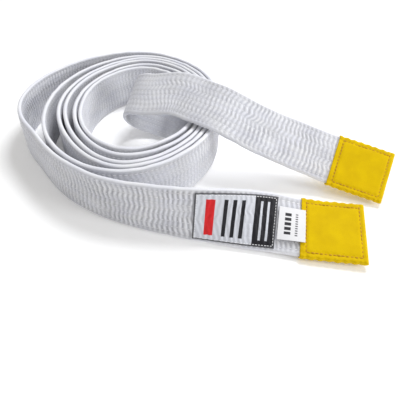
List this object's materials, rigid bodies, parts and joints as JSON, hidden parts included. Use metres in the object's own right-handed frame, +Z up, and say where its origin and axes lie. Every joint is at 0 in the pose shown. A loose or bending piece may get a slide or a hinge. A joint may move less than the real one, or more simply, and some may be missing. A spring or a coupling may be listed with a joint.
{
  "type": "martial arts belt",
  "caption": "Quilted white cotton martial arts belt lying loosely coiled, with yellow tips, a sewn woven label and a folding size tag.",
  "frame": {"origin": "centre of the bounding box on the floor that the belt lies on", "axes": "+X along the two strips towards the yellow tips, +Y away from the labelled strip, +Z up from the floor"},
  "size_m": [0.2952, 0.2396, 0.064],
  "materials": {
    "white_cotton": "matt bleached cotton, plain weave, quilted in rows",
    "core_canvas": "matt unbleached cotton canvas",
    "white_thread": "white sewing thread",
    "yellow_twill": "smooth yellow cotton twill",
    "yellow_thread": "darker yellow sewing thread",
    "woven_label": "fine satin-woven label with red, black and white fields",
    "tag_satin": "white satin tape with plain black bars"
  },
  "bodies": {
    "belt": {"belt_cover": "white_cotton", "core_ply_outer": "core_canvas", "core_ply_inner": "core_canvas", "stitch_row_1": "white_thread", "stitch_row_2": "white_thread", "stitch_row_3": "white_thread", "stitch_row_4": "white_thread", "stitch_row_5": "white_thread", "stitch_row_6": "white_thread", "stitch_row_7": "white_thread", "stitch_row_8": "white_thread", "tip_sleeve_label_end": "yellow_twill", "tip_sleeve_free_end": "yellow_twill", "tip_seam_label_end_outer": "yellow_thread", "tip_seam_label_end_inner": "yellow_thread", "tip_seam_free_end_outer": "yellow_thread", "tip_seam_free_end_inner": "yellow_thread", "woven_label": "woven_label", "label_seam": "white_thread"},
    "tag": {"size_tag": "tag_satin"}
  },
  "joints": [
    {"name": "size_tag_fold", "type": "hinge", "parent": "belt", "child": "tag", "pos_m": [0.05226, -0.09516, 0.01533], "axis": [-0.1558, -0.7956, -0.5855], "range_deg": [0, 140]}
  ]
}
